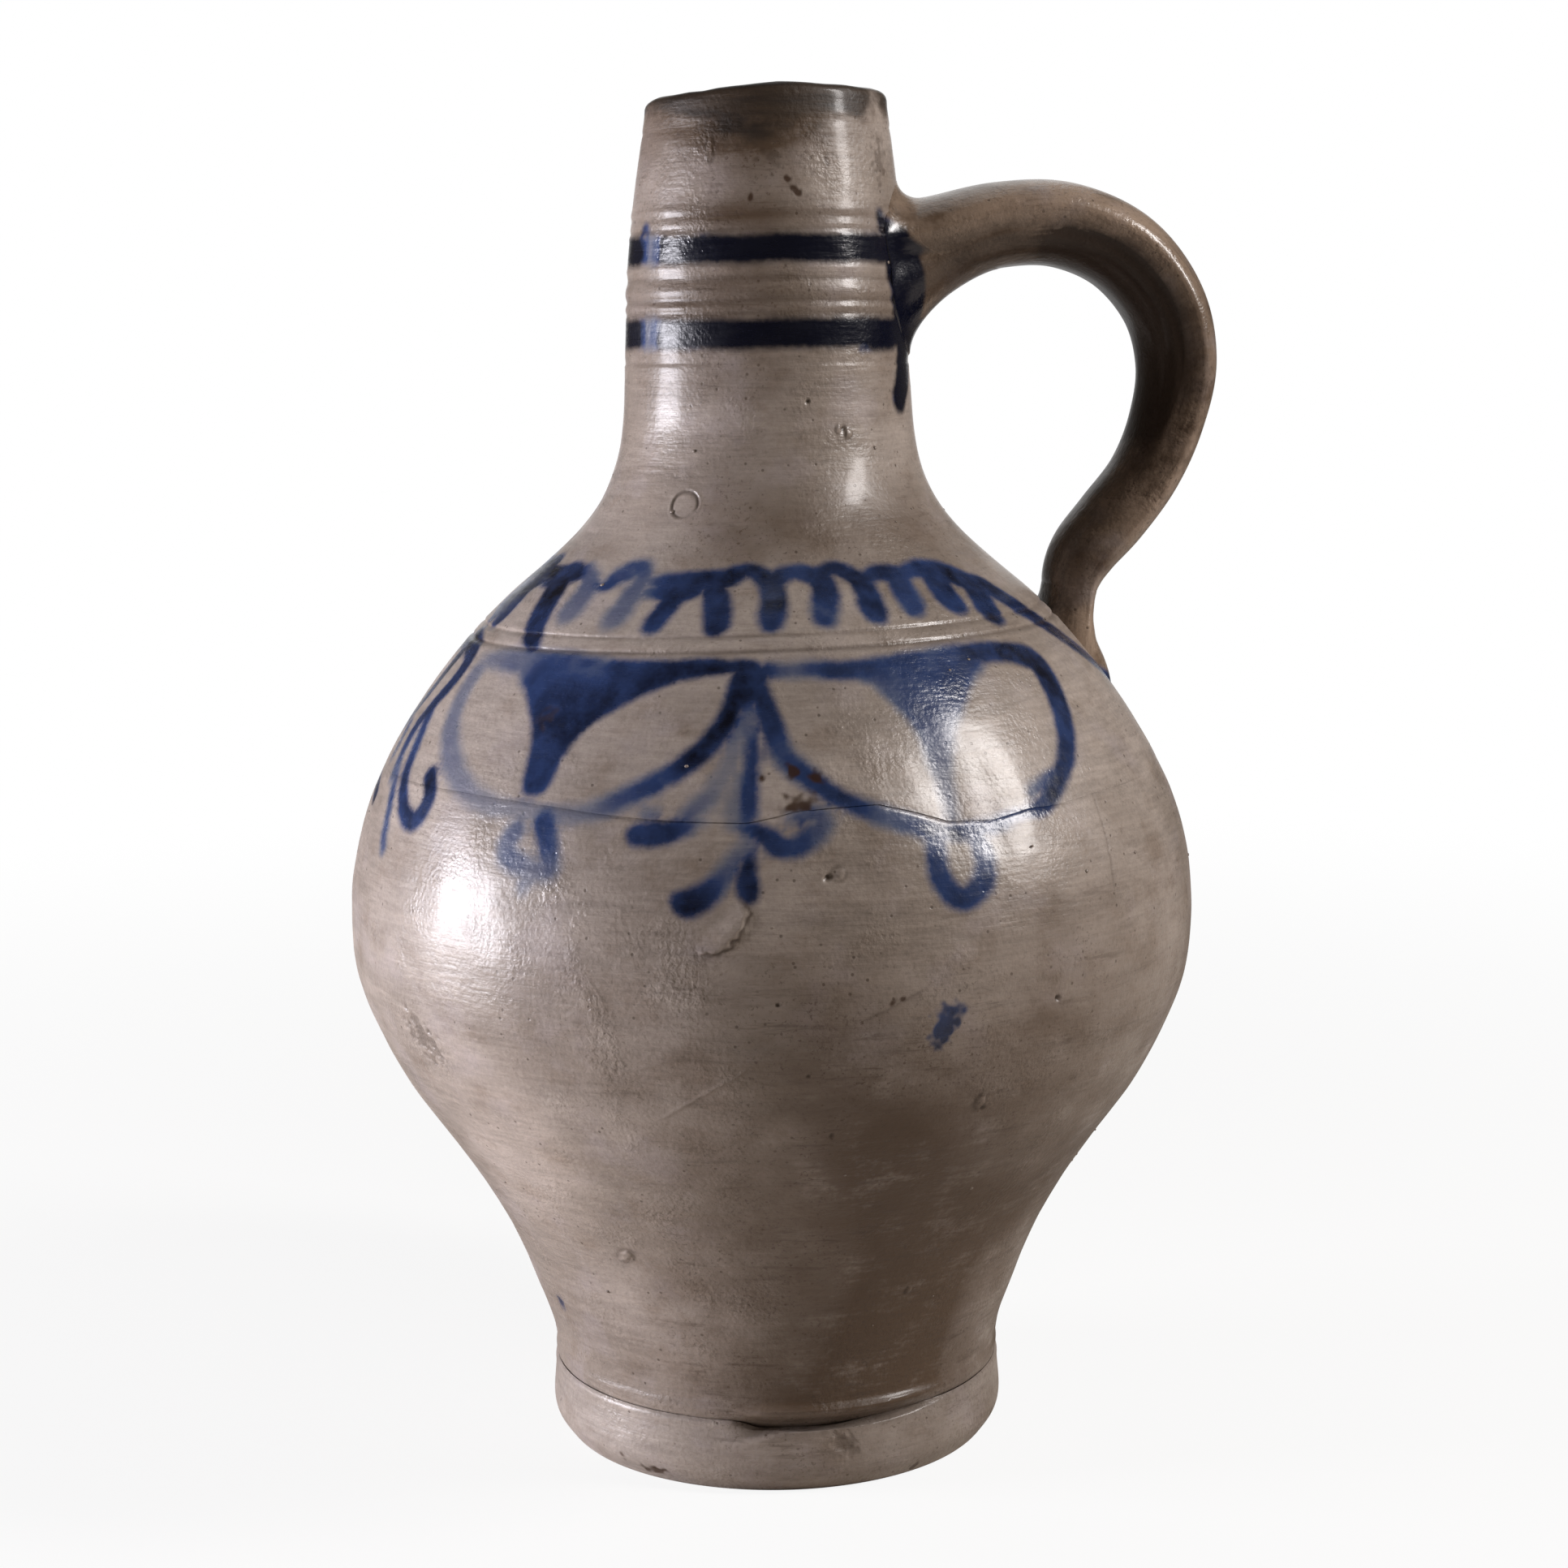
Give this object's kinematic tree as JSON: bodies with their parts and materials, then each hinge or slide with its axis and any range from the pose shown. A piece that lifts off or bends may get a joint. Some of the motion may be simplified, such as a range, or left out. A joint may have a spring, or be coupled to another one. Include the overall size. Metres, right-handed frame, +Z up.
{
  "type": "stoneware jug",
  "caption": "Round-bellied stoneware jug with a narrow neck, a pulled strap handle, a clay foot band and turned neck grooves.",
  "frame": {"origin": "centre of the flat base, on the table", "axes": "+Z up along the axis the jug was thrown on, +X toward the handle, -Y the side the picture was taken from"},
  "size_m": [0.1957, 0.1894, 0.3],
  "materials": {
    "lower_clay": "salt glaze, grey-beige with brown flashing",
    "upper_clay": "salt glaze with cobalt brushwork",
    "foot_clay": "thin salt glaze, bare clay underneath",
    "handle_clay": "salt glaze, browner than the body",
    "luting_clay": "salt glaze over worked clay"
  },
  "bodies": {
    "root": {"lower_body": "lower_clay", "upper_body": "upper_clay", "foot_band": "foot_clay", "handle": "handle_clay", "upper_luting": "luting_clay", "lower_luting": "luting_clay"}
  },
  "joints": []
}
